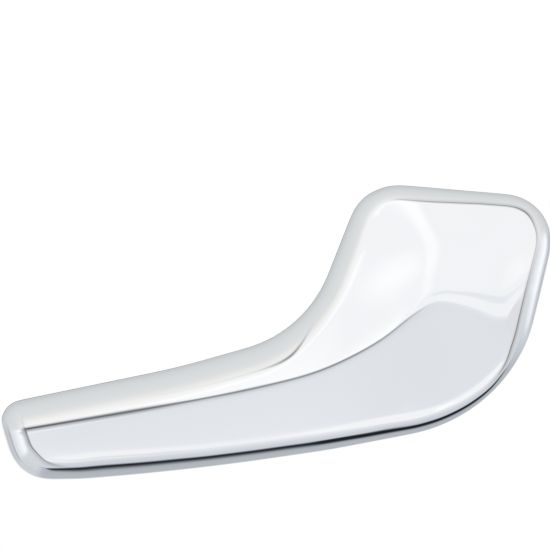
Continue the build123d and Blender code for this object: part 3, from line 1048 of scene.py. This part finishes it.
# How the sides of the cloth join: degrees from the camera's side, and shares of the way up, down or across.
# The sides are dimmer low down, and a patch up to the left is kept even.
tentJoins = {
    "near": (8.0, 16.0), "far": (18.0, 30.0), "rightPull": 0.4, "leftToRight": (-0.1, 0.1),
    "upWidth": (0.8, 3.4), "upRise": (0.0, 0.3), "upLift": 0.1,
    "downNear": (0.45, 0.85), "downFar": (0.1, 0.5),
    "stripMiddle": 49.0, "stripEnds": (30.0, 85.0), "stripTaper": (0.38, 0.84), "leastTaper": 0.06,
    "stripSide": (-0.06, 0.0),
    "dimColour": (0.72, 0.76, 0.78, 1), "dimShare": 0.85, "dimAway": (20.0, 30.0), "dimDrop": (0.38, 0.55),
    "calmColour": (1.075, 1.075, 1.065, 1), "calmSide": (0.68, 0.8), "calmRise": (0.2, 0.45),
    "calmStart": (5.0, 8.0), "calmEnd": (14.0, 20.0),
}
clearSelection()
bpy.ops.mesh.primitive_uv_sphere_add(segments=48, ring_count=24, radius=studio["tentRadius"])
tent = bpy.context.object
tent.name = "lightTent"
tentMaterial, nodes, shader = newMaterial("tentCloth")
where = nodes.node("ShaderNodeTexCoord", out="Object")
unit = nodes.node("ShaderNodeVectorMath", {"operation": "NORMALIZE"}, {0: where})
across = nodes.node("ShaderNodeSeparateXYZ", None, {"Vector": unit})
deep, high = across.other("Y"), across.other("Z")
away = deep.maths("ARCCOSINE", -1 * deep) * (180 / math.pi)
flat = (across * across + high * high + 1e-6) ** 0.5  # never quite zero
rise, aside = high / flat, across / flat
aloof = away.between(*tentJoins["near"])
steep = away.between(*tentJoins["far"])
leftward = aside.maths("MINIMUM", aside, 0.0)
rightward = aside.maths("MAXIMUM", aside, 0.0)
drop = aloof * (leftward - tentJoins["rightPull"] * rightward) - rise
taper = drop.between(*tentJoins["stripTaper"])
taper = taper.maths("MAXIMUM", taper, tentJoins["leastTaper"])
stripMiddle = tentJoins["stripMiddle"]
stripLow, stripHigh = tentJoins["stripEnds"]
pointed = stripMiddle + (away - stripMiddle) / taper  # the dark strip below ends in a point at either side
pointed = pointed.maths("MAXIMUM", pointed, away.maths("MINIMUM", away, stripLow))
pointed = pointed.maths("MINIMUM", pointed, away.maths("MAXIMUM", away, stripHigh))
cloth = {}
for name, stops in tentStops.items():
    angle = pointed if name in ("down", "downRight") else away
    colours = [(degrees / 180, colour) for degrees, colour in stops]
    cloth[name] = nodes.node("ShaderNodeValToRGB", {"stops": colours}, {"Fac": angle * (1 / 180)})
sideways = aside.maths("ABSOLUTE", aside * away)
upNear = (1 - sideways.between(*tentJoins["upWidth"])) * rise.between(*tentJoins["upRise"])
upFar = (rise + tentJoins["upLift"]).between(*tentJoins["upRise"])
upShare = upNear + (upFar - upNear) * aloof
downNear, downFar = drop.between(*tentJoins["downNear"]), drop.between(*tentJoins["downFar"])
downShare = downNear + (downFar - downNear) * steep
dim = away.between(*tentJoins["dimAway"]) * (-1 * rise).between(*tentJoins["dimDrop"]) * tentJoins["dimShare"]
calm = (-1 * aside).between(*tentJoins["calmSide"]) * rise.between(*tentJoins["calmRise"])
calm = calm * away.between(*tentJoins["calmStart"]) * (1 - away.between(*tentJoins["calmEnd"]))
sky = aside.between(*tentJoins["leftToRight"]).blend(cloth["left"], cloth["right"])
sky = dim.blend(sky, tentJoins["dimColour"])
below = aside.between(*tentJoins["stripSide"]).blend(cloth["down"], cloth["downRight"])
sky = downShare.blend(upShare.blend(sky, cloth["up"]), below)
sky = calm.blend(sky, tentJoins["calmColour"])
tentGlow = nodes.node("ShaderNodeEmission", None, {"Color": sky, "Strength": studio["tentGlow"]})
tentGlow.feed(nodes.tree.nodes["Material Output"].inputs["Surface"])
tent.data.materials.append(tentMaterial)
tent.visible_camera = False
tent.visible_diffuse = False
tent.visible_transmission = False
tent.visible_shadow = False

clearSelection()
bpy.ops.object.light_add(type="AREA", location=studio["lampPlace"])
lamp = bpy.context.object
lamp.name = "softLamp"
lamp.data.energy = studio["lampWatts"]
lamp.data.size = studio["lampSize"]
lamp.rotation_euler = (-lamp.location).to_track_quat("-Z", "Y").to_euler()
lamp.visible_glossy = False

# Camera: square on to the front, rolled as the handle lies in the picture
camera = {"aim": (-34.6, -16.0, 18.5), "width": 120.0, "distance": 950.0, "roll": 10.3, "sensor": 36.0}
clearSelection()
bpy.ops.object.camera_add()
lens = bpy.context.object
lens.data.sensor_width = camera["sensor"]
lens.data.sensor_height = camera["sensor"]
lens.data.sensor_fit = "AUTO"
lens.data.lens = camera["sensor"] * camera["distance"] / camera["width"]
lens.data.clip_start = 0.01
roll = math.radians(camera["roll"])
turned = Matrix(((math.cos(roll), math.sin(roll), 0), (0, 0, -1), (-math.sin(roll), math.cos(roll), 0)))
stand = (Vector(camera["aim"]) - Vector((0, camera["distance"], 0))) * mm
lens.matrix_world = Matrix.Translation(stand) @ turned.to_4x4()
scene.camera = lens
scene.view_settings.view_transform = "Standard"
print("studio and camera set")
